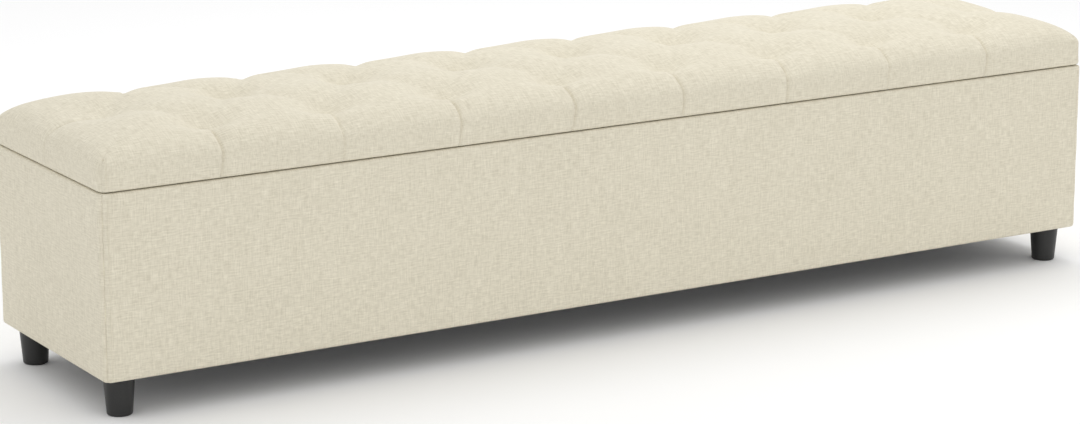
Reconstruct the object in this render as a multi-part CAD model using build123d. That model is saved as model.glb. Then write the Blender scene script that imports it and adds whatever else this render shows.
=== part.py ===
"""Long upholstered storage bench: a padded box on four tapered feet, closed by a hinged, diamond-tufted lid.

+X runs along the bench, +Y to its back and +Z up. The origin is on the floor under the bench's centre.
All lengths are in millimetres. Each sub-part is written to parts/NODE.step.
"""

from build123d import *
import math
import os

# ---- Driving dimensions -------------------------------------------------------------------------------------
LENGTH = 1800.0  # over the covered box
DEPTH = 390.0
FOOT_HEIGHT = 60.0
BOX_HEIGHT = 280.0  # underside of the box to its rim
LID_HEIGHT = 94.0  # rim to the top of the lid's pillows

# ---- Layers -------------------------------------------------------------------------------------------------
CLOTH = 1.5  # upholstery cloth with its backing
BOX_PAD = 5.0  # foam sheet glued round the box
PANEL = 15.0  # plywood walls and lid board
FLOOR_PANEL = 6.0
LINING = 1.0
CORNER_R = 12.0  # upright corners of the box
RIM_R = 9.0  # rounding of the rim and of the lid's lower edge
HEM_R = 5.0  # rounding of the box's lower edge
TURN_IN = 40.0  # cloth turned down inside the rim

# ---- Box levels and half sizes ------------------------------------------------------------------------------
HALF_X, HALF_Y = LENGTH / 2, DEPTH / 2
BOX_BOTTOM = FOOT_HEIGHT
RIM = BOX_BOTTOM + BOX_HEIGHT
WALL_INSET = CLOTH + BOX_PAD  # cloth face to the panel's outer face
WALL_X, WALL_Y = HALF_X - WALL_INSET, HALF_Y - WALL_INSET
ROOM_X, ROOM_Y = WALL_X - PANEL, WALL_Y - PANEL  # inner faces of the panels
WOOD_BOTTOM = BOX_BOTTOM + CLOTH
WOOD_TOP = RIM - WALL_INSET

# ---- Bottom frame -------------------------------------------------------------------------------------------
RAIL_HEIGHT, RAIL_WIDTH = 30.0, 20.0
CROSS_RAIL_WIDTH = 30.0
CROSS_RAIL_PITCH = 400.0
FOOT_BLOCK = (70.0, 60.0)
RAIL_TOP = WOOD_BOTTOM + RAIL_HEIGHT
FLOOR_TOP = RAIL_TOP + FLOOR_PANEL

# ---- Feet ---------------------------------------------------------------------------------------------------
FOOT_X, FOOT_Y = HALF_X - 38.0, HALF_Y - 40.0
FOOT_TOP_R, FOOT_TOE_R, FOOT_TOE_FILLET = 24.0, 19.0, 3.0
BOLT_R, BOLT_FROM, BOLT_TO = 4.0, 25.0, RAIL_TOP - 3.0
TEE_FLANGE_R, TEE_FLANGE, TEE_BARREL_R, TEE_BARREL = 10.0, 1.5, 5.5, 11.0
RUN = 0.05  # radial play of a pin or bolt in its hole

# ---- Lid ----------------------------------------------------------------------------------------------------
LID_GAP = 2.2  # rim to the lid's underside: the two hinge leaves and a sliver of air
LID_SIDE_INSET = 1.0
LID_X, LID_Y = HALF_X - LID_SIDE_INSET, HALF_Y - LID_SIDE_INSET
LID_BOTTOM, LID_TOP = RIM + LID_GAP, RIM + LID_HEIGHT
LID_CORNER_R, LID_SHOULDER_R = 14.0, 38.0
LID_TURN_UNDER = 30.0
BOARD_EDGE_PAD = RIM_R - CLOTH  # wadding between the board's edge and the cloth
BOARD_BOTTOM = LID_BOTTOM + CLOTH
BOARD_TOP = BOARD_BOTTOM + PANEL
BOARD_X, BOARD_Y = LID_X - CLOTH - BOARD_EDGE_PAD, LID_Y - CLOTH - BOARD_EDGE_PAD

# ---- Tufting: three rows set out as diamonds ----------------------------------------------------------------
TUFT_COLUMNS = 18  # half pitches along the length
TUFT_STEP = LENGTH / TUFT_COLUMNS
TUFT_ROW = DEPTH / 3
TUFT_DEPTH, OUTER_TUFT_DEPTH, TUFT_BALL_R = 30.0, 38.0, 50.0
TIE_R, STITCH_LENGTH = 1.0, 8.0
DISC_R, DISC, DISC_POCKET = 5.8, 2.0, 3.0
TIE_HOLE_R, KNOT_R = 3.0, 2.2

# ---- Hinges -------------------------------------------------------------------------------------------------
HINGE_XS = {"left": -600.0, "middle": 0.0, "right": 600.0}
HINGE_LENGTH, KNUCKLES = 120.0, 5
LEAF = 1.0
KNUCKLE_R, HINGE_PIN_R = 2.5, 1.2
AXIS_Y, AXIS_Z = HALF_Y - 2.6, RIM + LID_GAP / 2  # the hinge line, in the groove between rim and lid
LEAF_EDGE = AXIS_Y - KNUCKLE_R - 0.5  # where a leaf stops beside the other leaf's knuckles
KNUCKLE_PLAY = 0.2
BOX_LEAF_FRONT, LID_LEAF_FRONT = ROOM_Y - CLOTH, ROOM_Y - 22.0

# ---- Lid stays: each is a parallelogram, so its lower arm turns exactly as far as the lid ---------------------
STAY_ARM_WIDTH, STAY_PLATE = 16.0, 2.0
STAY_PIN_R, STAY_HEAD_R, STAY_HEAD = 3.0, 5.5, 1.6
STAY_AIR = 0.5  # between neighbouring plates
OPEN_PIVOT_PLAY = 0.3
LID_PIVOT = (AXIS_Y - 180.0, AXIS_Z - 19.0)  # (y, z) with the lid closed
BOX_PIVOT = (AXIS_Y - 75.0, AXIS_Z - 140.0)
ELBOW = (BOX_PIVOT[0] + LID_PIVOT[0] - AXIS_Y, BOX_PIVOT[1] + LID_PIVOT[1] - AXIS_Z)
LID_FLANGE_WIDTH, LID_FLANGE_LENGTH = 22.0, 80.0
BOX_BRACKET_HEIGHT = 60.0

CORNERS = {
    "front_left": (-1, -1),
    "front_right": (1, -1),
    "back_left": (-1, 1),
    "back_right": (1, 1),
}


# ---- Small helpers ------------------------------------------------------------------------------------------
def block(x0, x1, y0, y1, z0, z1):
    """A plain box between two corners."""
    low = (Align.MIN, Align.MIN, Align.MIN)
    return Pos(x0, y0, z0) * Box(x1 - x0, y1 - y0, z1 - z0, align=low)


def slab(half_x, half_y, z0, z1):
    """A plain box centred on the bench's upright axis."""
    return block(-half_x, half_x, -half_y, half_y, z0, z1)


def rounded_slab(half_x, half_y, z0, z1, corner_r, low_r, high_r):
    """A centred slab with rounded upright corners, lower edges and upper edges."""
    body = slab(half_x, half_y, z0, z1)
    body = fillet(body.edges().filter_by(Axis.Z), corner_r)
    body = fillet(body.faces().sort_by(Axis.Z)[0].edges(), low_r)
    return fillet(body.faces().sort_by(Axis.Z)[-1].edges(), high_r)


def rod_x(x0, x1, y, z, radius):
    """A cylinder along X."""
    turned = Rotation(0, 90, 0) * Cylinder(radius, abs(x1 - x0))
    return Pos((x0 + x1) / 2, y, z) * turned


def rod_z(x, y, z0, z1, radius):
    """An upright cylinder."""
    return Pos(x, y, (z0 + z1) / 2) * Cylinder(radius, z1 - z0)


def mirrored_x(shape):
    return mirror(shape, about=Plane.YZ)


def save(name, shape):
    export_step(shape, f"parts/{name}.step")


def save_group(name, shapes):
    """Separate solids of one kind, kept apart in one node."""
    save(name, Compound(children=[solid for shape in shapes for solid in shape.solids()]))


def wood_screw(radius, length, head_r, grow=0.0):
    """A countersunk screw whose head is flush with z = 0 and whose point is down. grow widens it into its hole."""
    head = head_r - radius
    tip = 1.6 * radius
    profile = Polyline(
        (0, 0),
        (head_r + grow, 0),
        (radius + grow, -head),
        (radius + grow, -length + tip),
        (0, -length - grow),
        close=True,
    )
    return revolve(Plane.XZ * make_face(profile), Axis.Z)


# ---- The box's walls and frame --------------------------------------------------------------------------------
def wall_ring(inset):
    """The box's padded walls as one ring, with every face moved in by a layer's thickness."""
    outside = rounded_slab(
        HALF_X - inset,
        HALF_Y - inset,
        BOX_BOTTOM + inset,
        RIM - inset,
        CORNER_R - inset,
        HEM_R - inset,
        RIM_R - inset,
    )
    room = slab(ROOM_X - CLOTH + inset, ROOM_Y - CLOTH + inset, 0, RIM + 10)
    return outside - room


def side_wedges():
    """Four mitred prisms that cut a ring into its front, back, left and right pieces."""
    big_x, big_y, ridge = HALF_X + 10, HALF_Y + 10, HALF_X - HALF_Y
    corners = {
        "front": [(-big_x, -big_y), (big_x, -big_y), (ridge, 0), (-ridge, 0)],
        "back": [(-big_x, big_y), (big_x, big_y), (ridge, 0), (-ridge, 0)],
        "left": [(-big_x, -big_y), (-big_x, big_y), (-ridge, 0)],
        "right": [(big_x, -big_y), (big_x, big_y), (ridge, 0)],
    }
    wedges = {}
    for side, points in corners.items():
        face = make_face(Polyline(*points, close=True))
        wedges[side] = extrude(face, RIM + 20)
    return wedges


def box_covers(hinge_holes, foot_holes):
    """Cloth over each side of the box: over the rim, down 40 mm inside it, and turned under the lower edge."""
    cloth = wall_ring(0) - wall_ring(CLOTH)
    cloth -= slab(ROOM_X, ROOM_Y, 0, RIM - TURN_IN)
    cloth = cloth - hinge_holes - foot_holes
    return {side: cloth & wedge for side, wedge in side_wedges().items()}


def box_pads(hinge_holes):
    """Foam sheet over the outside and the top edge of each wall."""
    foam = wall_ring(CLOTH) - slab(WALL_X, WALL_Y, 0, WOOD_TOP)
    foam -= hinge_holes
    return {side: foam & wedge for side, wedge in side_wedges().items()}


def panel_screws(grow=0.0):
    """Screws through the long panels into the end panels' edges."""
    screws = []
    for sx in (-1, 1):
        for sy in (-1, 1):
            for z in (WOOD_BOTTOM + 60, WOOD_BOTTOM + 140, WOOD_BOTTOM + 220):
                screw = Rotation(-90 * sy, 0, 0) * wood_screw(2.0, 40.0, 4.0, grow)
                screws.append(Pos(sx * (WALL_X - PANEL / 2), sy * WALL_Y, z) * screw)
    return screws


def wall_panels(hinge_holes, stay_holes):
    """Two long panels with the end panels between them."""
    screw_holes = panel_screws(RUN)
    panels = {
        "front_panel": block(-WALL_X, WALL_X, -WALL_Y, -ROOM_Y, WOOD_BOTTOM, WOOD_TOP),
        "back_panel": block(-WALL_X, WALL_X, ROOM_Y, WALL_Y, WOOD_BOTTOM, WOOD_TOP),
        "left_panel": block(-WALL_X, -ROOM_X, -ROOM_Y, ROOM_Y, WOOD_BOTTOM, WOOD_TOP),
        "right_panel": block(ROOM_X, WALL_X, -ROOM_Y, ROOM_Y, WOOD_BOTTOM, WOOD_TOP),
    }
    return {name: panel - screw_holes - hinge_holes - stay_holes for name, panel in panels.items()}


def bottom_frame():
    """Rails between the foot blocks, cross rails under the storage floor, and that floor."""
    block_x, block_y = FOOT_BLOCK
    rail_x, rail_y = ROOM_X - block_x, ROOM_Y - block_y
    low, high = WOOD_BOTTOM, RAIL_TOP
    frame = {
        "bottom_rail_front": block(-rail_x, rail_x, -ROOM_Y, -ROOM_Y + RAIL_WIDTH, low, high),
        "bottom_rail_back": block(-rail_x, rail_x, ROOM_Y - RAIL_WIDTH, ROOM_Y, low, high),
        "bottom_rail_left": block(-ROOM_X, -ROOM_X + RAIL_WIDTH, -rail_y, rail_y, low, high),
        "bottom_rail_right": block(ROOM_X - RAIL_WIDTH, ROOM_X, -rail_y, rail_y, low, high),
        "storage_floor": slab(ROOM_X, ROOM_Y, RAIL_TOP, FLOOR_TOP),
    }
    cross_y = ROOM_Y - RAIL_WIDTH
    cross_rails = [
        block(x - CROSS_RAIL_WIDTH / 2, x + CROSS_RAIL_WIDTH / 2, -cross_y, cross_y, low, high)
        for x in (-CROSS_RAIL_PITCH, 0, CROSS_RAIL_PITCH)
    ]
    return frame, cross_rails


def storage_lining(stay_holes):
    """Lining of the storage room, up to the cloth that is turned in over the rim."""
    outside = slab(ROOM_X, ROOM_Y, FLOOR_TOP, RIM - TURN_IN)
    inside = slab(ROOM_X - LINING, ROOM_Y - LINING, FLOOR_TOP + LINING, RIM)
    return outside - inside - stay_holes


# ---- Feet and what holds them ---------------------------------------------------------------------------------
def foot():
    """A tapered round foot on z = 0, bored for its moulded-in bolt."""
    cone = Pos(0, 0, FOOT_HEIGHT / 2) * Cone(FOOT_TOE_R, FOOT_TOP_R, FOOT_HEIGHT)
    cone = fillet(cone.faces().sort_by(Axis.Z)[0].edges(), FOOT_TOE_FILLET)
    return cone - rod_z(0, 0, BOLT_FROM, FOOT_HEIGHT + 1, BOLT_R)


def foot_bolt():
    return rod_z(0, 0, BOLT_FROM, BOLT_TO, BOLT_R)


def tee_nut():
    """A flanged nut let into the top of a foot block."""
    flange = rod_z(0, 0, RAIL_TOP - TEE_FLANGE, RAIL_TOP, TEE_FLANGE_R)
    barrel = rod_z(0, 0, RAIL_TOP - TEE_FLANGE - TEE_BARREL, RAIL_TOP, TEE_BARREL_R)
    return flange + barrel - rod_z(0, 0, 0, RAIL_TOP + 1, BOLT_R + RUN)


def foot_block(sx, sy):
    """Timber block in a bottom corner, bored for the bolt and the tee nut."""
    size_x, size_y = FOOT_BLOCK
    timber = block(ROOM_X - size_x, ROOM_X, ROOM_Y - size_y, ROOM_Y, WOOD_BOTTOM, RAIL_TOP)
    timber -= rod_z(FOOT_X, FOOT_Y, 0, RAIL_TOP, TEE_BARREL_R + RUN)
    timber -= rod_z(FOOT_X, FOOT_Y, RAIL_TOP - TEE_FLANGE, RAIL_TOP, TEE_FLANGE_R + RUN)
    if sx < 0:
        timber = mirrored_x(timber)
    return timber if sy > 0 else mirror(timber, about=Plane.XZ)


def at_feet(shape):
    return [Pos(sx * FOOT_X, sy * FOOT_Y, 0) * shape for sx, sy in CORNERS.values()]


# ---- Hinges -------------------------------------------------------------------------------------------------
def hinge_leaf(centre_x, own, front, z0, screw_holes):
    """One leaf: a plate with every second knuckle. own is 0 for the box's leaf and 1 for the lid's."""
    left = centre_x - HINGE_LENGTH / 2
    pitch = HINGE_LENGTH / KNUCKLES
    leaf = block(left, left + HINGE_LENGTH, front, LEAF_EDGE, z0, z0 + LEAF)
    for k in range(own, KNUCKLES, 2):
        x0, x1 = left + k * pitch + KNUCKLE_PLAY / 2, left + (k + 1) * pitch - KNUCKLE_PLAY / 2
        leaf += block(x0, x1, LEAF_EDGE - 1, AXIS_Y, z0, z0 + LEAF)
        leaf += rod_x(x0, x1, AXIS_Y, AXIS_Z, KNUCKLE_R)
    leaf -= rod_x(left - 1, left + HINGE_LENGTH + 1, AXIS_Y, AXIS_Z, HINGE_PIN_R + RUN)
    return leaf - screw_holes


def hinge_pin(centre_x):
    return rod_x(centre_x - HINGE_LENGTH / 2, centre_x + HINGE_LENGTH / 2, AXIS_Y, AXIS_Z, HINGE_PIN_R)


def hinge_screws(of_lid, grow=0.0):
    """Three screws a leaf: down into the back panel, or up into the lid board."""
    screws = []
    for centre_x in HINGE_XS.values():
        for dx in (-45, 0, 45):
            if of_lid:
                screw = Rotation(180, 0, 0) * wood_screw(1.6, 14.0, 2.5, grow)
                screws.append(Pos(centre_x + dx, ROOM_Y - 8.0, LID_BOTTOM - LEAF) * screw)
            else:
                screw = wood_screw(1.6, 24.0, 2.5, grow)
                screws.append(Pos(centre_x + dx, ROOM_Y + PANEL / 2, RIM + LEAF) * screw)
    return screws


# ---- Lid stays ------------------------------------------------------------------------------------------------
# Plates are stacked inwards from the left end's lining; the right stay is the left one mirrored.
STAY_X0 = -(ROOM_X - LINING)
BRACKET_X = (STAY_X0, STAY_X0 + STAY_PLATE)
LOWER_ARM_X = (BRACKET_X[1] + STAY_AIR, BRACKET_X[1] + STAY_AIR + STAY_PLATE)
UPPER_ARM_X = (LOWER_ARM_X[1] + STAY_AIR, LOWER_ARM_X[1] + STAY_AIR + STAY_PLATE)
LID_FLANGE_X = (UPPER_ARM_X[1] + STAY_AIR, UPPER_ARM_X[1] + STAY_AIR + STAY_PLATE)


def arm(x_range, start, end, start_hole_r, end_hole_r):
    """A flat steel arm with round ends, between two (y, z) pivots."""
    length = math.dist(start, end)
    angle = math.degrees(math.atan2(end[1] - start[1], end[0] - start[0]))
    bar = Pos(length / 2, 0) * SlotCenterToCenter(length, STAY_ARM_WIDTH)
    bar -= Circle(start_hole_r) + Pos(length, 0) * Circle(end_hole_r)
    plane = Plane(origin=(x_range[0], *start), x_dir=(0, 1, 0), z_dir=(1, 0, 0))
    return extrude(plane * Rotation(0, 0, angle) * bar, x_range[1] - x_range[0])


def rivet(pivot, shank_from, shank_to, head_from, head_to):
    """A stay's pivot rivet: a shank and a flat head, both along X."""
    shank = rod_x(shank_from, shank_to, *pivot, STAY_PIN_R)
    return shank + rod_x(head_from, head_to, *pivot, STAY_HEAD_R)


def box_bracket():
    """Plate on the left end wall that carries the lower arm's pivot."""
    y, z = BOX_PIVOT
    half = BOX_BRACKET_HEIGHT / 2
    plate = block(*BRACKET_X, y - 11, y + 11, z - half, z + half)
    plate = fillet(plate.edges().filter_by(Axis.X), 5)
    return plate - rod_x(*BRACKET_X, y, z, STAY_PIN_R)


def lid_bracket():
    """Angle under the lid: one flange on the board, the other hanging down to the upper arm's pivot."""
    y, z = LID_PIVOT
    half = LID_FLANGE_LENGTH / 2
    top = LID_BOTTOM
    flat = block(LID_FLANGE_X[0], LID_FLANGE_X[0] + LID_FLANGE_WIDTH, y - half, y + half, top - STAY_PLATE, top)
    ear = block(*LID_FLANGE_X, y - 12, y + 12, z - 10, top)
    ear = fillet(ear.edges().filter_by(Axis.X).sort_by(Axis.Z)[:2], 8)
    return flat + ear - rod_x(*LID_FLANGE_X, y, z, STAY_PIN_R)


def stay_box_screws(grow=0.0):
    y, z = BOX_PIVOT
    rise = BOX_BRACKET_HEIGHT / 2 - 9
    screw = Rotation(0, 90, 0) * wood_screw(1.7, 14.0, 3.2, grow)
    return [Pos(BRACKET_X[1], y, z + dz) * screw for dz in (-rise, rise)]


def stay_lid_screws(grow=0.0):
    y, _ = LID_PIVOT
    reach = LID_FLANGE_LENGTH / 2 - 10
    screw = Rotation(180, 0, 0) * wood_screw(1.7, 13.0, 3.2, grow)
    x = LID_FLANGE_X[0] + LID_FLANGE_WIDTH - 8
    return [Pos(x, y + dy, LID_BOTTOM - STAY_PLATE) * screw for dy in (-reach, reach)]


def both_sides(shapes):
    return list(shapes) + [mirrored_x(shape) for shape in shapes]


# ---- Lid ----------------------------------------------------------------------------------------------------
def tuft_points():
    """Tuft centres: nine in the middle row, and eight half a pitch over in the front and back rows."""
    points = []
    for row in (-1, 0, 1):
        first = 1 if row == 0 else 2
        for step in range(first, TUFT_COLUMNS, 2):
            points.append((-HALF_X + step * TUFT_STEP, row * TUFT_ROW))
    return points


def tuft_floor(y):
    """Height of a dimple's lowest point. The outer rows are pulled deeper than the middle one."""
    return LID_TOP - (TUFT_DEPTH if abs(y) < TUFT_ROW / 2 else OUTER_TUFT_DEPTH)


def lid_form(inset):
    """The lid's outer form with its tufts, with every face moved in by a layer's thickness."""
    form = rounded_slab(
        LID_X - inset,
        LID_Y - inset,
        LID_BOTTOM + inset,
        LID_TOP - inset,
        LID_CORNER_R - inset,
        RIM_R - inset,
        LID_SHOULDER_R - inset,
    )
    ball = Sphere(TUFT_BALL_R + inset)
    return form - [Pos(x, y, tuft_floor(y) + TUFT_BALL_R) * ball for x, y in tuft_points()]


def tuft_tie(y):
    """Twine of a tuft: a stitch in the dimple, a cord down through the lid, and a knot under its disc."""
    stitch_z = tuft_floor(y) + TIE_R + 0.2
    knot_top = BOARD_BOTTOM + DISC_POCKET - DISC
    cord = rod_z(0, 0, BOARD_BOTTOM + 0.1, stitch_z, TIE_R)
    stitch = rod_x(-STITCH_LENGTH / 2, STITCH_LENGTH / 2, 0, stitch_z, TIE_R)
    return cord + stitch + rod_z(0, 0, BOARD_BOTTOM + 0.1, knot_top, KNOT_R)


def tuft_disc():
    low = BOARD_BOTTOM + DISC_POCKET - DISC
    return rod_z(0, 0, low, low + DISC, DISC_R) - rod_z(0, 0, low - 1, low + DISC + 1, TIE_R + RUN)


def at_tufts(shape):
    return [Pos(x, y, 0) * shape for x, y in tuft_points()]


def lid_parts(screw_holes):
    """Board, foam, edge wadding, cover and underside cloth of the lid."""
    inner = lid_form(CLOTH)
    board = slab(BOARD_X, BOARD_Y, BOARD_BOTTOM, BOARD_TOP)
    board = fillet(board.edges().filter_by(Axis.Z), LID_CORNER_R - CLOTH - BOARD_EDGE_PAD)
    low_part = slab(LID_X, LID_Y, LID_BOTTOM, BOARD_TOP)
    tie_holes = at_tufts(rod_z(0, 0, BOARD_TOP - 1, LID_TOP, TIE_R + RUN))
    board_holes = at_tufts(
        rod_z(0, 0, BOARD_BOTTOM - 1, BOARD_TOP + 1, TIE_HOLE_R)
        + rod_z(0, 0, BOARD_BOTTOM - 1, BOARD_BOTTOM + DISC_POCKET, DISC_R + RUN)
    )
    window_x, window_y = LID_X - LID_TURN_UNDER, LID_Y - LID_TURN_UNDER
    window = slab(window_x, window_y, LID_BOTTOM - 1, BOARD_BOTTOM + 1)
    return {
        "lid_board": board - board_holes - screw_holes,
        "lid_foam": inner - low_part - tie_holes,
        "lid_edge_wadding": (inner & low_part) - board,
        "lid_cover": lid_form(0) - inner - window - tie_holes - screw_holes,
        "lid_lining": slab(window_x, window_y, LID_BOTTOM, BOARD_BOTTOM) - screw_holes,
    }


# ---- Everything, written out ----------------------------------------------------------------------------------
def main():
    os.makedirs("parts", exist_ok=True)

    box_hinge_holes = hinge_screws(of_lid=False, grow=RUN)
    lid_screw_holes = hinge_screws(of_lid=True, grow=RUN) + both_sides(stay_lid_screws(RUN))
    stay_holes = both_sides(stay_box_screws(RUN))
    bolt_holes = at_feet(rod_z(0, 0, 0, RAIL_TOP, TEE_BARREL_R + RUN))

    for name, panel in wall_panels(box_hinge_holes, stay_holes).items():
        save(name, panel)
    frame, cross_rails = bottom_frame()
    for name, piece in frame.items():
        save(name, piece)
    save_group("cross_rails", cross_rails)
    save_group("panel_screws", panel_screws())
    for side, cover in box_covers(box_hinge_holes, bolt_holes).items():
        save(f"box_cover_{side}", cover)
    for side, pad in box_pads(box_hinge_holes).items():
        save(f"box_pad_{side}", pad)
    save("storage_lining", storage_lining(stay_holes))
    save("dust_cover", slab(ROOM_X, ROOM_Y, BOX_BOTTOM, WOOD_BOTTOM) - bolt_holes)

    for (name, (sx, sy)), placed in zip(CORNERS.items(), at_feet(foot())):
        save(f"foot_{name}", placed)
    save_group("foot_blocks", [foot_block(sx, sy) for sx, sy in CORNERS.values()])
    save_group("foot_bolts", at_feet(foot_bolt()))
    save_group("foot_tee_nuts", at_feet(tee_nut()))

    lid_hinge_holes = hinge_screws(of_lid=True, grow=RUN)
    for name, x in HINGE_XS.items():
        save(f"hinge_{name}_box_leaf", hinge_leaf(x, 0, BOX_LEAF_FRONT, RIM, box_hinge_holes))
        lid_leaf = hinge_leaf(x, 1, LID_LEAF_FRONT, LID_BOTTOM - LEAF, lid_hinge_holes)
        save(f"hinge_{name}_lid_leaf", lid_leaf)
    save_group("hinge_pins", [hinge_pin(x) for x in HINGE_XS.values()])
    save_group("hinge_screws_box", hinge_screws(of_lid=False))
    save_group("hinge_screws_lid", hinge_screws(of_lid=True))

    lower_arm = arm(LOWER_ARM_X, BOX_PIVOT, ELBOW, STAY_PIN_R + RUN, STAY_PIN_R)
    upper_arm = arm(UPPER_ARM_X, ELBOW, LID_PIVOT, STAY_PIN_R + RUN, STAY_PIN_R + OPEN_PIVOT_PLAY)
    inner_head = LOWER_ARM_X[1] + STAY_AIR / 2
    elbow_head = UPPER_ARM_X[1] + STAY_AIR / 2
    lid_head = UPPER_ARM_X[0] - STAY_AIR / 2
    elbow_rivet = rivet(ELBOW, LOWER_ARM_X[0], elbow_head, elbow_head, elbow_head + STAY_HEAD)
    box_rivet = rivet(BOX_PIVOT, BRACKET_X[0], inner_head, inner_head, inner_head + STAY_HEAD)
    lid_rivet = rivet(LID_PIVOT, lid_head, LID_FLANGE_X[1], lid_head - STAY_HEAD, lid_head)
    left_stay = {
        "box_bracket": box_bracket() - stay_holes,
        "lower_arm": lower_arm,
        "elbow_rivet": elbow_rivet,
        "upper_arm": upper_arm,
        "lid_bracket": lid_bracket() - both_sides(stay_lid_screws(RUN)),
    }
    for name, piece in left_stay.items():
        save(f"stay_left_{name}", piece)
        save(f"stay_right_{name}", mirrored_x(piece))
    save_group("stay_box_rivets", both_sides([box_rivet]))
    save_group("stay_lid_rivets", both_sides([lid_rivet]))
    save_group("stay_box_screws", both_sides(stay_box_screws()))
    save_group("stay_lid_screws", both_sides(stay_lid_screws()))

    for name, piece in lid_parts(lid_screw_holes).items():
        save(name, piece)
    save_group("tuft_ties", [Pos(x, y, 0) * tuft_tie(y) for x, y in tuft_points()])
    save_group("tuft_discs", at_tufts(tuft_disc()))


main()
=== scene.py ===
# %% [markdown]
# # An upholstered storage bench
# This lesson dresses a finished CAD model of a long storage bench: a padded box on four black feet,
# closed by a tufted cushion lid. The CAD model is the frame. It says where every body is and how the
# lid turns, and each soft piece made here takes the place of a plain CAD solid.

import math

import bmesh
import bpy
import numpy as np
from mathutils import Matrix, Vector


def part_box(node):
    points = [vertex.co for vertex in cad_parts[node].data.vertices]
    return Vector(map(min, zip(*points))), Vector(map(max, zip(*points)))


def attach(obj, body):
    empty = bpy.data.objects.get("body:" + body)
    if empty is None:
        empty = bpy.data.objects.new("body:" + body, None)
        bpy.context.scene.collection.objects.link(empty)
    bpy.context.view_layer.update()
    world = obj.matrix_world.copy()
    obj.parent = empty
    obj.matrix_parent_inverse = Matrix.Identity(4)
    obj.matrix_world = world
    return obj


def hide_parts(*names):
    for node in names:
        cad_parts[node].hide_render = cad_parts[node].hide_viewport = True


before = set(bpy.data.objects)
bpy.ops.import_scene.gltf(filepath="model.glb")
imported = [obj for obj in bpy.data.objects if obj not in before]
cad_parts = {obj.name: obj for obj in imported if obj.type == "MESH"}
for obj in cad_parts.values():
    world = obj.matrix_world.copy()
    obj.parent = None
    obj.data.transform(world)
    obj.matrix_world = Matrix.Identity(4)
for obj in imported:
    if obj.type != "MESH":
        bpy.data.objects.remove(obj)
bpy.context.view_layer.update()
MM = 0.001

# %% [markdown]
# ## Measures from the frame
# Cloth and foam have to fit the solids they replace, so every size comes from a CAD node's box. Nothing
# is typed twice, and a change in the CAD model is followed here.

# %% Read the main sizes
box_low, box_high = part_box("box_cover_front")
_, box_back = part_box("box_cover_back")
lid_low, lid_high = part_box("lid_cover")

HALF_LENGTH = -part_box("box_cover_left")[0].x
HALF_DEPTH = box_back.y
BOX_BOTTOM, RIM = box_low.z, box_high.z
LID_X, LID_Y = lid_high.x, lid_high.y
LID_BOTTOM, LID_TOP = lid_low.z, lid_high.z
WALL = box_high.y - box_low.y  # cloth face to cloth face, through foam and plywood
print(f"box {2 * HALF_LENGTH:.3f} x {2 * HALF_DEPTH:.3f} m, rim at {RIM:.3f}, lid top at {LID_TOP:.3f}")

# %% [markdown]
# ## Helpers
# A mesh is a list of corner points and a list of faces that join them. Most pieces below are grids, so
# one helper turns a grid of points into a mesh, and others tidy it and hand it to the frame.


# %% Mesh helpers
def new_object(name, verts, faces, uvs=None):
    """A smooth-shaded mesh object. uvs holds one (u, v) per vertex."""
    mesh = bpy.data.meshes.new(name)
    mesh.from_pydata([tuple(v) for v in verts], [], [tuple(int(i) for i in f) for f in faces])
    if uvs is not None:
        layer = mesh.uv_layers.new(name="cloth")
        loops = np.zeros(len(mesh.loops), np.int32)
        mesh.loops.foreach_get("vertex_index", loops)
        layer.data.foreach_set("uv", np.asarray(uvs, float)[loops].ravel())
    mesh.polygons.foreach_set("use_smooth", [True] * len(mesh.polygons))
    obj = bpy.data.objects.new(name, mesh)
    bpy.context.scene.collection.objects.link(obj)
    return obj


def coordinates(obj):
    co = np.zeros(len(obj.data.vertices) * 3)
    obj.data.vertices.foreach_get("co", co)
    return co.reshape(-1, 3)


def set_coordinates(obj, co):
    obj.data.vertices.foreach_set("co", np.asarray(co, float).ravel())
    obj.data.update()


def grid_faces(rows, cols, wrap=False):
    """Quads of a grid of points stored row by row. wrap joins the last column to the first."""
    faces = []
    for r in range(rows - 1):
        for c in range(cols if wrap else cols - 1):
            d = (c + 1) % cols
            faces.append((r * cols + c, r * cols + d, (r + 1) * cols + d, (r + 1) * cols + c))
    return faces


def bake_modifiers(obj):
    """Replaces the object's mesh with what its modifiers make, and drops them."""
    evaluated = obj.evaluated_get(bpy.context.evaluated_depsgraph_get())
    mesh = bpy.data.meshes.new_from_object(evaluated)
    obj.modifiers.clear()
    old, obj.data = obj.data, mesh
    bpy.data.meshes.remove(old)
    mesh.name = obj.name
    return obj


def give(obj, material, body):
    """Sets the finish and the body the piece moves with."""
    obj.data.materials.clear()
    obj.data.materials.append(material)
    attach(obj, body)
    return obj


# %% [markdown]
# ## Linen-look cloth
# The cover is a plain weave of uneven yarns: thick places, called slubs, make short streaks along both
# directions, and the streaks that run up the walls are the stronger ones. A weave like that could be an
# image, but noise that is squeezed hard along one axis makes the same streaks at any size. The pattern
# reads the piece's own UV map, in metres, so that it bends round edges with the cloth.


# %% Node helpers
def new_material(name):
    material = bpy.data.materials.new(name)
    material.use_nodes = True
    tree = material.node_tree
    return material, tree, tree.nodes["Principled BSDF"]


def node(tree, kind, **values):
    """Adds a shader node. Keywords set its properties, or its inputs where they name one."""
    made = tree.nodes.new(kind)
    for key, value in values.items():
        if key in made.inputs:
            made.inputs[key].default_value = value
        else:
            setattr(made, key, value)
    return made


def maths(tree, operation, first, second=0.0, third=0.0):
    """A Math node fed by sockets or plain numbers. Returns its output."""
    made = node(tree, "ShaderNodeMath", operation=operation)
    for socket, value in zip(made.inputs, (first, second, third)):
        if isinstance(value, bpy.types.NodeSocket):
            tree.links.new(value, socket)
        else:
            socket.default_value = value
    return made.outputs[0]


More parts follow.
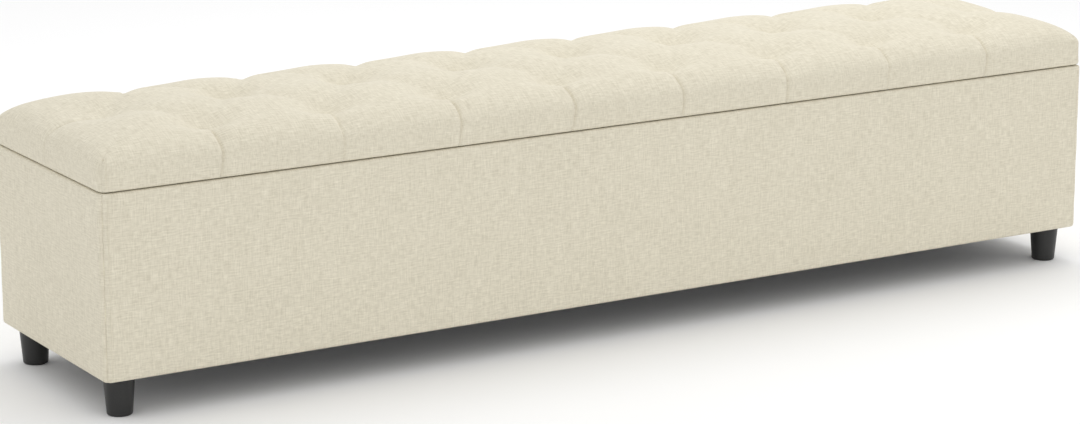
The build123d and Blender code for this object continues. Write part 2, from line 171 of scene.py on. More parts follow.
def ramp(tree, factor, stops):
    """A colour ramp. stops holds (position, colour)."""
    made = node(tree, "ShaderNodeValToRGB")
    elements = made.color_ramp.elements
    while len(elements) < len(stops):
        elements.new(0.5)
    for element, (position, colour) in zip(elements, stops):
        element.position = position
        element.color = (*colour, 1)
    tree.links.new(factor, made.inputs["Fac"])
    return made.outputs["Color"]


def stretched_noise(tree, vector, scale, detail=2.0, rough=0.55):
    """Noise whose cells are squeezed by scale = (u, v, w)."""
    mapping = node(tree, "ShaderNodeMapping")
    mapping.inputs["Scale"].default_value = scale
    tree.links.new(vector, mapping.inputs["Vector"])
    noise = node(tree, "ShaderNodeTexNoise", Scale=1.0, Detail=detail, Roughness=rough)
    tree.links.new(mapping.outputs[0], noise.inputs["Vector"])
    return noise.outputs[0]


# %% Build the linen
def linen_material(name, dark, light):
    material, tree, shader = new_material(name)
    vector = node(tree, "ShaderNodeTexCoord").outputs["UV"]

    # Slubs: long thin cells along the warp (up the walls) and along the weft.
    warp = stretched_noise(tree, vector, (470, 60, 1), 2.5, 0.6)
    weft = stretched_noise(tree, vector, (62, 450, 1), 2.5, 0.6)
    broad = stretched_noise(tree, vector, (210, 14, 1), 1.5, 0.5)
    cloud = stretched_noise(tree, vector, (9, 9, 1), 2.0, 0.5)

    # Yarns: a fine over-and-under wave. A wave's bands repeat every pi / (10 * scale) metres.
    yarn = {}
    for key, axis, pitch in (("warp", "X", 0.9 * MM), ("weft", "Y", 0.95 * MM)):
        wave = node(tree, "ShaderNodeTexWave", bands_direction=axis, Scale=math.pi / (10 * pitch))
        wave.inputs["Distortion"].default_value = 0.8
        wave.inputs["Detail Scale"].default_value = 1.5
        tree.links.new(vector, wave.inputs["Vector"])
        yarn[key] = wave.outputs["Fac"]
    weave = maths(tree, "MULTIPLY", yarn["warp"], yarn["weft"])

    streaks = maths(tree, "MULTIPLY", warp, 0.38)
    streaks = maths(tree, "MULTIPLY_ADD", weft, 0.46, streaks)
    streaks = maths(tree, "MULTIPLY_ADD", broad, 0.10, streaks)
    streaks = maths(tree, "MULTIPLY_ADD", cloud, 0.06, streaks)
    tone = maths(tree, "MULTIPLY_ADD", weave, 0.05, streaks)
    colour = ramp(tree, tone, [(0.385, dark), (0.655, light)])
    tree.links.new(colour, shader.inputs["Base Color"])

    height = maths(tree, "MULTIPLY_ADD", weave, 0.35, streaks)
    bump = node(tree, "ShaderNodeBump", Strength=0.4, Distance=0.35 * MM)
    tree.links.new(height, bump.inputs["Height"])
    tree.links.new(bump.outputs[0], shader.inputs["Normal"])
    shader.inputs["Roughness"].default_value = 0.92
    shader.inputs["Specular IOR Level"].default_value = 0.18
    shader.inputs["Sheen Weight"].default_value = 0.12
    shader.inputs["Sheen Roughness"].default_value = 0.5
    return material


LINEN_DARK, LINEN_LIGHT = (0.60, 0.554, 0.437), (0.79, 0.741, 0.607)
linen = linen_material("cream_linen", LINEN_DARK, LINEN_LIGHT)
print("linen:", len(linen.node_tree.nodes), "nodes")

# %% [markdown]
# ## Foam, board, lining, plastic and steel
# These show when the lid is up, or from below. Each has a pattern of its own on Object coordinates,
# which for a CAD node are the bench's own coordinates in metres.


# %% Build the other finishes
SPECKLE_STOPS = 0.4, 0.62  # where the noise is fully dark, and fully light


def speckled(name, dark, light, scale, rough, bump_mm, metallic=0.0, detail=3.0):
    """A finish whose colour and bump come from one noise, squeezed by scale = (x, y, z)."""
    material, tree, shader = new_material(name)
    source = node(tree, "ShaderNodeTexCoord")
    noise = stretched_noise(tree, source.outputs["Object"], scale, detail, 0.6)
    colour = ramp(tree, noise, [(SPECKLE_STOPS[0], dark), (SPECKLE_STOPS[1], light)])
    tree.links.new(colour, shader.inputs["Base Color"])
    bump = node(tree, "ShaderNodeBump", Strength=0.5, Distance=bump_mm * MM)
    tree.links.new(noise, bump.inputs["Height"])
    tree.links.new(bump.outputs[0], shader.inputs["Normal"])
    shader.inputs["Roughness"].default_value = rough
    shader.inputs["Metallic"].default_value = metallic
    return material


foam = speckled("upholstery_foam", (0.72, 0.66, 0.44), (0.90, 0.86, 0.66), (900, 900, 900), 0.95, 0.6)
plywood = speckled(
    "birch_plywood", (0.50, 0.36, 0.21), (0.74, 0.58, 0.38), (6, 90, 160), 0.62, 0.15, detail=6.0
)
timber = speckled(
    "pine_timber", (0.55, 0.38, 0.20), (0.80, 0.63, 0.40), (7, 60, 90), 0.68, 0.2, detail=5.0
)
foot_plastic = speckled(
    "black_foot_plastic", (0.010, 0.010, 0.0095), (0.019, 0.019, 0.018), (1400, 1400, 1400), 0.42, 0.04
)
zinc = speckled(
    "zinc_plated_steel", (0.46, 0.47, 0.49), (0.74, 0.75, 0.76), (300, 300, 300), 0.34, 0.02, 1.0
)
nickel = speckled(
    "nickel_plated_steel", (0.50, 0.49, 0.47), (0.68, 0.67, 0.64), (20, 700, 700), 0.28, 0.02, 1.0
)
strip_steel = speckled(
    "stay_strip_steel", (0.44, 0.45, 0.47), (0.66, 0.67, 0.69), (500, 40, 40), 0.33, 0.02, 1.0
)
disc_plastic = speckled(
    "anchor_disc_plastic", (0.74, 0.74, 0.70), (0.84, 0.84, 0.80), (800, 800, 800), 0.5, 0.03
)
twine = speckled("waxed_twine", (0.62, 0.58, 0.47), (0.82, 0.78, 0.66), (1200, 1200, 260), 0.6, 0.15)
dust_cloth = speckled(
    "black_dust_cloth", (0.010, 0.010, 0.011), (0.045, 0.045, 0.048), (900, 900, 60), 0.9, 0.2
)
lining_cloth = linen_material("grey_lining", (0.30, 0.29, 0.27), (0.44, 0.43, 0.40))
print("finishes:", len(bpy.data.materials))

# %% [markdown]
# ## Harder pieces keep their CAD shape
# Boards, rails, feet, bolts and the stays' flat steel already have the right form in the CAD model, so
# those nodes stay and only get a finish. A node's material is changed in its object's slot, and its
# mesh is left alone.

# %% Finish the CAD nodes
SIDES = "front", "back", "left", "right"
node_finishes = {
    plywood: ["front_panel", "back_panel", "left_panel", "right_panel", "storage_floor", "lid_board"],
    timber: ["bottom_rail_" + side for side in SIDES] + ["cross_rails", "foot_blocks"],
    foot_plastic: [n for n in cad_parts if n.startswith("foot_") and n.endswith(("left", "right"))],
    zinc: ["panel_screws", "foot_bolts", "foot_tee_nuts"],
    nickel: [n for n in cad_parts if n.startswith("hinge_")],
    strip_steel: [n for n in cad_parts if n.startswith("stay_")],
    foam: ["box_pad_" + side for side in SIDES],
    disc_plastic: ["tuft_discs"],
    twine: ["tuft_ties"],
}
for material, names in node_finishes.items():
    for name in names:
        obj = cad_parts[name]
        obj.data.materials.clear()
        obj.data.materials.append(material)
print("finished nodes:", sum(len(names) for names in node_finishes.values()))

# %% [markdown]
# ## The tufts
# A tuft is a point where a twine pulls the cover down through the foam. There are three rows, set out
# as diamonds: the middle row's tufts lie between those of the outer rows. The CAD model has one anchor
# disc under each tuft, so the discs' own places give the pattern.

# %% Find the tufts
DISC_REACH = 20 * MM  # more than a disc's width, and less than the way to the next disc
disc_points = coordinates(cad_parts["tuft_discs"])[:, :2]
centres = set()
for point in np.unique(disc_points, axis=0):
    disc = disc_points[np.linalg.norm(disc_points - point, axis=1) < DISC_REACH]
    centres.add(tuple(np.round((disc.min(0) + disc.max(0)) / 2, 4) + 0.0))
tufts = np.array(sorted(centres))
TUFT_ROW, END_TUFT_X = tufts[:, 1].max(), tufts[:, 0].max()


def in_outer_row(tuft):
    return abs(tuft[1]) > TUFT_ROW / 2


def at_an_end(tuft):
    return abs(tuft[0]) > END_TUFT_X - TUFT_ROW / 2


print("tufts:", len(tufts), "rows at", sorted(set(tufts[:, 1])))

# %% [markdown]
# ## The cushion's net of points
# The cushion is a soft box, so its net starts as a box's surface: one grid over the top and a band of
# columns down the four sides, which then turns under the board. Each point has a home on the box, and a
# direction made from how far round the shoulder it lies. Moving the point out along that direction by
# the shoulder's radius rounds every edge at once. A high power in the plan keeps the upright corners
# crisp while the shoulder stays round.

# %% Shape of the cushion before tufting
SHOULDER = 30 * MM  # radius over the top edges
CORNER_POWER = 7.0  # how square the cushion is in plan
UNDER_EDGE = 4.5 * MM  # radius of the lower edge
TURN_UNDER = 28 * MM  # less than the shoulder, so that the corners' columns stay apart
CUSHION_TOP = LID_TOP - 2.5 * MM
INNER_X, INNER_Y = LID_X - SHOULDER, LID_Y - SHOULDER
QUARTER = math.pi / 4  # half of a right-angled edge's turn
ARC_STEPS, UPRIGHT_STEPS = 4, 6
arc = range(1, ARC_STEPS + 1)


def spread(stops, steps):
    """Values from each stop to the next, in the given number of steps."""
    values = [stops[0]]
    for a, b, n in zip(stops, stops[1:], steps):
        values += [a + (b - a) * (k + 1) / n for k in range(n)]
    return values


# A place is (position, angle). Beyond the inner box only the angle grows, round the shoulder.
half_a = [(x, 0.0) for x in spread([0, END_TUFT_X, INNER_X], [112, 10])]
half_b = [(y, 0.0) for y in spread([0, TUFT_ROW, INNER_Y], [18, 5])]
half_a += [(INNER_X, QUARTER * k / ARC_STEPS) for k in arc]
half_b += [(INNER_Y, QUARTER * k / ARC_STEPS) for k in arc]
cols = [(-p, -a) for p, a in reversed(half_a[1:])] + half_a
rows = [(-p, -a) for p, a in reversed(half_b[1:])] + half_b
NA, NB = len(cols), len(rows)


def push_out(home, direction, radius):
    """Moves points out from home along direction, so that the plan is squarish and the profile round."""
    d = np.asarray(direction, float)
    plan = (np.abs(d[:, 0]) ** CORNER_POWER + np.abs(d[:, 1]) ** CORNER_POWER) ** (1 / CORNER_POWER)
    length = np.sqrt(plan**2 + d[:, 2] ** 2)
    return home + radius * d / length[:, None]


top_home, top_dir = [], []
for y, b in rows:
    for x, a in cols:
        top_home.append((x, y, CUSHION_TOP - SHOULDER))
        top_dir.append((math.tan(a), math.tan(b), 1.0))
cushion_points = list(push_out(np.array(top_home), top_dir, SHOULDER))

# The rim of that grid, anticlockwise from the front left corner, starts each side column.
rim_ids = [c for c in range(NA)]
rim_ids += [r * NA + NA - 1 for r in range(1, NB)]
rim_ids += [(NB - 1) * NA + c for c in range(NA - 2, -1, -1)]
rim_ids += [r * NA for r in range(NB - 2, 0, -1)]
ring_home = np.array([top_home[i] for i in rim_ids])
ring_dir = np.array([top_dir[i] for i in rim_ids])
RING = len(rim_ids)

side_rows = []
ring_points_top = push_out(ring_home, ring_dir, SHOULDER)
for k in arc:  # the lower half of the shoulder
    lean = math.tan(QUARTER * (1 - k / ARC_STEPS))
    d = ring_dir.copy()
    d[:, 2] = lean
    side_rows.append(push_out(ring_home, d, SHOULDER))
flat_dir = ring_dir.copy()
flat_dir[:, 2] = 0
SWELL = 0.7 * MM
COVER_LOW = LID_BOTTOM - SWELL  # the cover swells a little below the board
CAP_HEIGHT = 2.15 * MM  # of the closed underside over COVER_LOW
low_z = COVER_LOW + UNDER_EDGE
for z in spread([CUSHION_TOP - SHOULDER, low_z], [UPRIGHT_STEPS])[1:]:
    row = push_out(ring_home, flat_dir, SHOULDER)
    row[:, 2] = z
    side_rows.append(row)
for k in arc:  # the lower edge
    turn = math.pi / 2 * k / ARC_STEPS
    row = push_out(ring_home, flat_dir, SHOULDER - UNDER_EDGE * (1 - math.cos(turn)))
    row[:, 2] = low_z - UNDER_EDGE * math.sin(turn)
    side_rows.append(row)
for k in (1, 2, 3, 3.1):  # under the board, then up to it behind the lining
    reach = UNDER_EDGE + (TURN_UNDER - UNDER_EDGE) * k / 3
    row = push_out(ring_home, flat_dir, SHOULDER - reach)
    row[:, 2] = COVER_LOW + (SWELL * k / 3 if k <= 3 else CAP_HEIGHT)
    side_rows.append(row)

cushion_faces = grid_faces(NB, NA)
ring = rim_ids
for row in side_rows:
    start = len(cushion_points)
    cushion_points += list(row)
    lower = list(range(start, start + RING))
    for k in range(RING):
        m = (k + 1) % RING
        cushion_faces.append((ring[k], lower[k], lower[m], ring[m]))
    ring = lower
cushion_points = np.array(cushion_points)
SIDE_ROWS = len(side_rows)
print("cushion net:", len(cushion_points), "points,", len(cushion_faces), "faces")

# %% [markdown]
# ## Dome, dimples and valleys
# Foam that is pulled down by its cover all round is highest along the middle and falls towards every
# side, so the net gets a dome first. Then comes the tufting: a wide funnel at each tuft, a shallow
# valley along the diamond between neighbouring tufts, and a valley from each outer tuft to the nearest
# side, where spare cloth is folded into a pleat. All of it is one height above the rim for each place
# in plan, and the net's points are sunk to it.

# %% Sink the net to the dome
DOME_ACROSS, DOME_ALONG = 38 * MM, 34 * MM  # how much lower the long sides and the ends are
DOME_END = 0.70  # where the fall towards an end begins
SIDE_TOP = RIM + 26 * MM  # below this the sides stay upright
tie_points = coordinates(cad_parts["tuft_ties"])
STITCH_RISE = 2 * MM  # a tie's top lies this much above the cloth it presses down
floors = []
for tuft in tufts:
    near = np.linalg.norm(tie_points[:, :2] - tuft, axis=1) < DISC_REACH
    floors.append(tie_points[near, 2].max() - STITCH_RISE)
floors = np.array(floors)
FUNNEL_X = 46 * MM  # reach of a dimple along the cushion
FUNNEL_IN, FUNNEL_OUT = 43 * MM, 17 * MM  # and across it, towards the middle and towards the side
DIAGONAL_REACH = 1.5 * TUFT_ROW  # neighbours in a diamond are nearer than this
VALLEY, VALLEY_WIDTH = 13 * MM, 15 * MM
SIDE_VALLEY, SIDE_VALLEY_WIDTH = 12 * MM, 13 * MM


def dome(plan):
    """Height of the cushion's top at points in plan, before tufting."""
    across = DOME_ACROSS * (np.abs(plan[:, 1]) / LID_Y) ** 2.8
    along = DOME_ALONG * (np.clip(np.abs(plan[:, 0]) - DOME_END, 0, None) / (LID_X - DOME_END)) ** 2
    return CUSHION_TOP - (across**4 + along**4) ** 0.25


def segment_distance(points, a, b):
    """Distance in plan from points to the segment a-b, and the share of the way along it."""
    a, b = np.asarray(a, float), np.asarray(b, float)
    along = np.clip(((points - a) @ (b - a)) / ((b - a) @ (b - a)), 0, 1)
    return np.linalg.norm(points - (a + along[:, None] * (b - a)), axis=1), along


def tuft_press(plan):
    """How far the cover is pressed in at points in plan."""
    funnel = np.zeros(len(plan))
    depths = ((dome(tufts) - floors) ** 3 - VALLEY**3) ** (1 / 3)
    for centre, deep in zip(tufts, depths):
        dx, dy = (plan - centre).T
        outward = dy * centre[1] > 0  # beyond an outer tuft the cover rises again at once
        r = np.hypot(dx / FUNNEL_X, dy / np.where(outward, FUNNEL_OUT, FUNNEL_IN))
        funnel += (deep * np.exp(-(r**2))) ** 3
    valley = np.zeros(len(plan))
    for i, one in enumerate(tufts):
        for other in tufts[i + 1 :]:
            if one[1] != other[1] and np.linalg.norm(one - other) < DIAGONAL_REACH:
                d, along = segment_distance(plan, one, other)
                sag = 1 - 0.25 * np.sin(np.pi * along)
                valley = np.maximum(valley, VALLEY * sag * np.exp(-((d / VALLEY_WIDTH) ** 1.1)))
        if in_outer_row(one):
            edge = (one[0], math.copysign(LID_Y, one[1]))
        elif at_an_end(one):
            edge = (math.copysign(LID_X, one[0]), one[1])
        else:
            continue
        d, along = segment_distance(plan, one, edge)
        side_valley = SIDE_VALLEY * (1 - 0.5 * along) * np.exp(-((d / SIDE_VALLEY_WIDTH) ** 1.2))
        valley = np.maximum(valley, side_valley)
    return (funnel + valley**3) ** (1 / 3)


n_top = NA * NB
sunk = dome(cushion_points[:, :2]) - tuft_press(cushion_points[:, :2])
share = np.clip((cushion_points[:, 2] - SIDE_TOP) / (CUSHION_TOP - SIDE_TOP), 0, None)
upper = share > 0
cushion_points[upper, 2] = (SIDE_TOP + share * (sunk - SIDE_TOP))[upper]
side_height = (dome(np.array([[0, LID_Y]]))[0] - RIM) / MM
print(f"sides {side_height:.0f} mm above the rim, tufts", sorted(set(np.round((floors - RIM) / MM, 1))))

# %% [markdown]
# ## UV map of the cover
# The weave has to run straight along the bench and bend over the shoulder without a jump, so the map is
# laid out as the cutter would: across the top and down the long sides as one piece. The ends are cut on
# their own and joined at the corner seams. Lengths are measured along the net, in metres.

# %% Lay out the cloth
flat_x = [p + math.copysign(SHOULDER * abs(a), p) for p, a in cols]
flat_y = [p + math.copysign(SHOULDER * abs(a), p) for p, a in rows]
rim_uv = np.array([(flat_x[i % NA], flat_y[i // NA]) for i in rim_ids])
SIDE_NORMALS = ((0, -1), (1, 0), (0, 1), (-1, 0))  # front, right, back and left columns
SIDE_STARTS = (0, NA - 1, NA + NB - 2, 2 * NA + NB - 3, RING)
side_depth = np.cumsum(
    [np.linalg.norm(b[NA // 2] - a[NA // 2]) for a, b in zip([ring_points_top] + side_rows, side_rows)]
)


def cushion_uvs():
    """One (u, v) for each corner of each face, in the order of the faces."""
    uvs = []
    for face in grid_faces(NB, NA):
        uvs += [(flat_x[i % NA], flat_y[i // NA]) for i in face]
    depths = [0.0] + list(side_depth)
    for r in range(SIDE_ROWS):
        for k in range(RING):
            m = (k + 1) % RING
            side = max(s for s in range(4) if k >= SIDE_STARTS[s])
            out = np.array(SIDE_NORMALS[side])
            for column, depth in ((k, depths[r]), (k, depths[r + 1]), (m, depths[r + 1]), (m, depths[r])):
                uvs.append(tuple(rim_uv[column] + out * depth))
    return uvs


# %% [markdown]
# ## Cloth simulation
# The planned form is smoother than real cloth. Blender's Cloth with pressure inside blows the net up
# against its own stiffness, so that pillows swell and the cloth between two tufts pulls straight. The
# points at the tufts and the lower edge are held. The result is read back into the mesh, and no Cloth
# modifier stays on the piece.

# %% Simulate the cloth
def graph_smooth(co, faces, fixed, passes, strength=0.5):
    """Averages each point with its neighbours, except the fixed ones."""
    pairs = np.array([(f[i], f[(i + 1) % len(f)]) for f in faces for i in range(len(f))])
    pairs = np.unique(np.sort(pairs, axis=1), axis=0)
    count = np.bincount(pairs.ravel(), minlength=len(co))[:, None]
    free = ~fixed[:, None]
    for _ in range(passes):
        total = np.zeros_like(co)
        np.add.at(total, pairs[:, 0], co[pairs[:, 1]])
        np.add.at(total, pairs[:, 1], co[pairs[:, 0]])
        co = np.where(free, co + strength * (total / count - co), co)
    return co


PUFF_CAP = 9 * MM  # the most that a point may move
TUFT_HOLD = 4 * MM  # the radius that a twine holds down
LAST_FRAME = 20
at_tuft = np.zeros(len(cushion_points), bool)
for centre in tufts:
    r = np.linalg.norm(cushion_points[:n_top, :2] - centre, axis=1)
    at_tuft[:n_top] |= r < TUFT_HOLD
first_held = n_top + RING * (ARC_STEPS + UPRIGHT_STEPS - 1)  # the upright sides' lower end
held = at_tuft.copy()
held[first_held:] = True

cushion = new_object("lid_cover_tufted", cushion_points, cushion_faces)
group = cushion.vertex_groups.new(name="held")
group.add([int(i) for i in np.nonzero(held)[0]], 1.0, "REPLACE")
cloth = cushion.modifiers.new("cloth", "CLOTH")
settings = cloth.settings
settings.vertex_group_mass = "held"
settings.use_pressure = True
settings.uniform_pressure_force = 4.0
settings.quality = 6
settings.mass = 0.3
settings.tension_stiffness = settings.compression_stiffness = 25
settings.shear_stiffness = 12
settings.bending_stiffness = 1.2
settings.effector_weights.gravity = 0
cloth.collision_settings.use_collision = False
scene = bpy.context.scene
cloth.point_cache.frame_start, cloth.point_cache.frame_end = 1, LAST_FRAME
for number in range(1, LAST_FRAME + 1):
    scene.frame_set(number)
evaluated = cushion.evaluated_get(bpy.context.evaluated_depsgraph_get())
puffed = np.zeros(len(cushion_points) * 3)
evaluated.data.vertices.foreach_get("co", puffed)
cushion.modifiers.clear()
scene.frame_set(1)
move = puffed.reshape(-1, 3) - cushion_points
size = np.linalg.norm(move, axis=1, keepdims=True)
move *= np.minimum(1, PUFF_CAP / np.maximum(size, 1e-9))
print(f"cloth moved up to {size.max() / MM:.1f} mm, mean {size.mean() / MM:.2f} mm")
cushion_points = cushion_points + move
cushion_points = graph_smooth(cushion_points, cushion_faces, held, 2)
set_coordinates(cushion, cushion_points)

# %% [markdown]
# ## Close and subdivide the cushion
# The cushion is a closed form, so its open underside gets a cap, which the lining hides. One
# Subdivision Surface then rounds the net. The UV map is laid on first and is subdivided with it.

# %% Close, map and subdivide
last = len(cushion_points) - RING
back_left = last + 2 * NA + NB - 3
cap = [(back_left - c, back_left - 1 - c, last + c + 1, last + c) for c in range(NA - 1)]
right_cap = [last + NA - 1 + k for k in range(NB)]
left_cap = [last + (2 * NA + NB - 3 + k) % RING for k in range(NB)]
all_faces = cushion_faces + cap + [tuple(reversed(right_cap)), tuple(reversed(left_cap))]
bpy.data.objects.remove(cushion)
cushion = new_object("lid_cover_tufted", cushion_points, all_faces)
map_layer = cushion.data.uv_layers.new(name="cloth")
corner_uvs = cushion_uvs()
for face in all_faces[len(cushion_faces) :]:
    corner_uvs += [tuple(cushion_points[i][:2]) for i in face]
map_layer.data.foreach_set("uv", np.array(corner_uvs).ravel())
smooth = cushion.modifiers.new("smooth", "SUBSURF")
smooth.levels = smooth.render_levels = 1
bake_modifiers(cushion)
cover_mesh = bmesh.new()
cover_mesh.from_mesh(cushion.data)
bmesh.ops.recalc_face_normals(cover_mesh, faces=cover_mesh.faces)
cover_mesh.to_mesh(cushion.data)
cover_mesh.free()
print("cushion:", len(cushion.data.polygons), "faces")

# %% [markdown]
# ## Pleats and corner seams
# Spare cloth at each outer tuft is folded into a pleat that runs over the shoulder and down to the
# lower edge. A pleat is a step: the cloth climbs to a lip on one side and drops into a narrow slit on
# the other. The net is too coarse for that, so points near each pleat first crowd towards it, and then
# move in or out along their normals. The corner seams are the same but even on both sides.

# %% Fold the pleats
PLEAT_REACH = 15 * MM  # the cloth that a pleat gathers from on each side
PLEAT_LEAN = -9 * MM  # how far a pleat leans towards the left by the lower edge
OUTER_PLEAT, END_PLEAT = (5.8 * MM, 1.2 * MM), (4.5 * MM, 1.0 * MM)  # (depth, lip)


def crowd(offset, reach, power=1.9):
    """Draws offsets within reach of a line towards it."""
    share = np.clip(np.abs(offset) / reach, 0, 1)
    return np.where(share < 1, np.sign(offset) * reach * share**power, offset)


def slit(offset, depth, lip):
    """Inward move beside a pleat: a narrow slit at 0 in a shallow dent, and a lip on the minus side."""
    cut = 0.75 * depth * np.exp(-((offset / (1.8 * MM)) ** 2))
    shallow = 0.25 * depth * np.exp(-((offset / (9 * MM)) ** 2))
    rise = lip * np.exp(-(((offset + 4.5 * MM) / (4.0 * MM)) ** 2))
    return cut + shallow - rise


co = coordinates(cushion)
normals = np.zeros(len(co) * 3)
cushion.data.vertices.foreach_get("normal", normals)
normals = normals.reshape(-1, 3)
move_in = np.zeros(len(co))
upright = co[:, 2] > LID_BOTTOM + 1 * MM
outer_tufts = [t for t in tufts if in_outer_row(t)]
for number, (tx, ty) in enumerate(outer_tufts):
    side = math.copysign(1, ty)
    strength = 0.7 if number % 5 == 2 else 1.0  # some close less tightly
    beyond = (co[:, 1] * side - TUFT_ROW) / (LID_Y - TUFT_ROW)  # 0 at the tuft, 1 at the face
    start = np.clip((beyond - 0.02) / 0.3, 0, 1)
    height = np.clip((co[:, 2] - LID_BOTTOM) / (LID_TOP - LID_BOTTOM), 0, 1)
    fade = start * (0.55 + 0.45 * height) * strength
    sway = 1.6 * MM * np.sin(5.0 * height + tx * 9)  # never quite straight
    bend = start * (PLEAT_LEAN * (1 - height) + sway)
    offset = co[:, 0] - tx - bend
    zone = (np.abs(offset) < PLEAT_REACH) & upright & (beyond > 0)
    co[zone, 0] += (crowd(offset, PLEAT_REACH) - offset)[zone] * start[zone]
    offset = co[:, 0] - tx - bend
    move_in += np.where(zone, slit(offset, *OUTER_PLEAT) * fade, 0)
end_tufts = [t for t in tufts if at_an_end(t)]
for tx, ty in end_tufts:
    side = math.copysign(1, tx)
    beyond = (co[:, 0] * side - END_TUFT_X) / (LID_X - END_TUFT_X)
    start = np.clip((beyond - 0.05) / 0.35, 0, 1)
    height = np.clip((co[:, 2] - LID_BOTTOM) / (LID_TOP - LID_BOTTOM), 0, 1)
    fade = start * (0.5 + 0.5 * height)
    offset = co[:, 1] - ty - 1.5 * MM * np.sin(3 * height) * start
    zone = (np.abs(offset) < PLEAT_REACH) & upright & (beyond > 0.02)
    co[zone, 1] += (crowd(offset, PLEAT_REACH) - offset)[zone] * start[zone]
    move_in += np.where(zone, slit(offset, *END_PLEAT) * fade, 0)

# Corner seams: the offset is how far round the corner a point lies from its diagonal.
corner_gap = (LID_X - np.abs(co[:, 0])) - (LID_Y - np.abs(co[:, 1]))
near_corner = (np.abs(co[:, 0]) > LID_X - 60 * MM) & (np.abs(co[:, 1]) > LID_Y - 60 * MM) & upright
seam_fade = np.clip((LID_TOP - 14 * MM - co[:, 2]) / (22 * MM), 0, 1)
shift = np.where(near_corner, crowd(corner_gap, 9 * MM, 1.5) - corner_gap, 0) * seam_fade / 2
co[:, 0] -= np.sign(co[:, 0]) * shift
co[:, 1] += np.sign(co[:, 1]) * shift
corner_gap = (LID_X - np.abs(co[:, 0])) - (LID_Y - np.abs(co[:, 1]))
seam = 1.7 * MM * np.exp(-((corner_gap / (2.0 * MM)) ** 2)) * seam_fade
move_in += np.where(near_corner, seam, 0)
set_coordinates(cushion, co - normals * move_in[:, None])
print("pleats:", len(outer_tufts) + len(end_tufts))

# %% [markdown]
# ## Foam core
# Under the cover lies a block of foam that the twines pull into the same dimples. It is the net once
# more, moved in along its normals, so that it follows the cover everywhere and stays clear of the slits
# of the pleats.

# %% Foam core of the cushion
board_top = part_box("lid_board")[1].z
CORE_GAP = 8 * MM  # cover cloth and the pleats' slits
CORE_DRAWN_IN = (0.985, 0.94, 1)  # the core's lowest rows lie further from the cover's edge
core_shape = new_object("core_shape", cushion_points, all_faces)
core_normals = np.zeros(len(cushion_points) * 3)
core_shape.data.vertices.foreach_get("normal", core_normals)
core_points = cushion_points - core_normals.reshape(-1, 3) * CORE_GAP
core_points[:, 2] = np.maximum(core_points[:, 2], board_top + 0.2 * MM)
bpy.data.objects.remove(core_shape)
core_points[first_held:] *= CORE_DRAWN_IN
foam_core = new_object("lid_foam_core", core_points, all_faces)
foam_mesh = bmesh.new()
foam_mesh.from_mesh(foam_core.data)
bmesh.ops.recalc_face_normals(foam_mesh, faces=foam_mesh.faces)
foam_mesh.to_mesh(foam_core.data)
foam_mesh.free()
print("foam core:", len(foam_core.data.polygons), "faces")

# %% [markdown]
# ## Cloth over the box
# Each side of the box is one cut of cloth: it is turned in over the rim, runs down the wall, and is
# turned under the lower edge. The four cuts meet in seams on the upright corners. A cut like this is a
# profile swept along the plan's outline, so a point is found from how far round the plan and how far
# down the profile it lies. Columns crowd at the corners, where the seam sinks in and its stitches
# pucker the cloth.

# %% Profile and plan of the box
RIM_RADIUS, HEM_RADIUS = 5 * MM, 5 * MM
CORNER_RADIUS = 12 * MM
TURN_IN = 40 * MM
UNDER_HEM = 22 * MM
CLOSING_RUN = 60 * MM  # the run beside a corner over which inner rows close up


def arc_lengths(points):
    """Distance along a line of points, from its first."""
    steps = np.linalg.norm(np.diff(points, axis=0), axis=1)
    return np.concatenate([[0], np.cumsum(steps)])


def arc_profile(centre, radius, start, end, steps):
    """(inset, height) points on an arc. Angles are in degrees, 0 pointing outwards and 90 up."""
    angles = np.radians(np.linspace(start, end, steps))
    return [(centre[0] - radius * math.cos(a), centre[1] + radius * math.sin(a)) for a in angles]


wall_inner = WALL - 0.2 * MM
profile = [(wall_inner, RIM - TURN_IN + k * 6 * MM) for k in range(7)]
profile += arc_profile((wall_inner - 2 * MM, RIM - 2 * MM), 2 * MM, 180, 90, 4)
profile += [(15.5 * MM, RIM), (11 * MM, RIM)]
profile += arc_profile((RIM_RADIUS, RIM - RIM_RADIUS), RIM_RADIUS, 90, 0, 7)
upright_steps = 34
upright_run = BOX_BOTTOM + HEM_RADIUS - RIM + RIM_RADIUS
for k in range(1, upright_steps):
    profile.append((0, RIM - RIM_RADIUS + upright_run * k / upright_steps))
profile += arc_profile((HEM_RADIUS, BOX_BOTTOM + HEM_RADIUS), HEM_RADIUS, 0, -90, 5)
profile += [(12 * MM, BOX_BOTTOM), (UNDER_HEM, BOX_BOTTOM)]
profile = np.array(profile)
down = arc_lengths(profile)
down -= down[int(np.argmax(profile[:, 0] < 1e-9))]


def side_plan(half_run):
    """Places along one side, from seam to seam: (run, round) with run along the wall and round in radians."""
    straight = half_run - CORNER_RADIUS
    count = int(2 * straight / (9 * MM))
    turns = 7  # columns round half a corner
    places = [(-straight, -QUARTER * (1 - k / turns) ** 1.6) for k in range(turns)]
    places += [(-straight + 2 * straight * k / count, 0.0) for k in range(count + 1)]
    places += [(straight, QUARTER * ((k + 1) / turns) ** (1 / 1.6)) for k in range(turns)]
    return places


def soft_waves(u, v, seed):
    """Slow undulation of stretched cloth, between -1 and 1."""
    total = np.zeros(np.broadcast(u, v).shape)
    draw = np.random.default_rng(seed)
    for _ in range(9):
        fu, fv = draw.uniform(2, 17), draw.uniform(3, 20)
        total = total + np.sin(u * fu + draw.uniform(0, 6.3)) * np.sin(v * fv + draw.uniform(0, 6.3))
    return total / 9


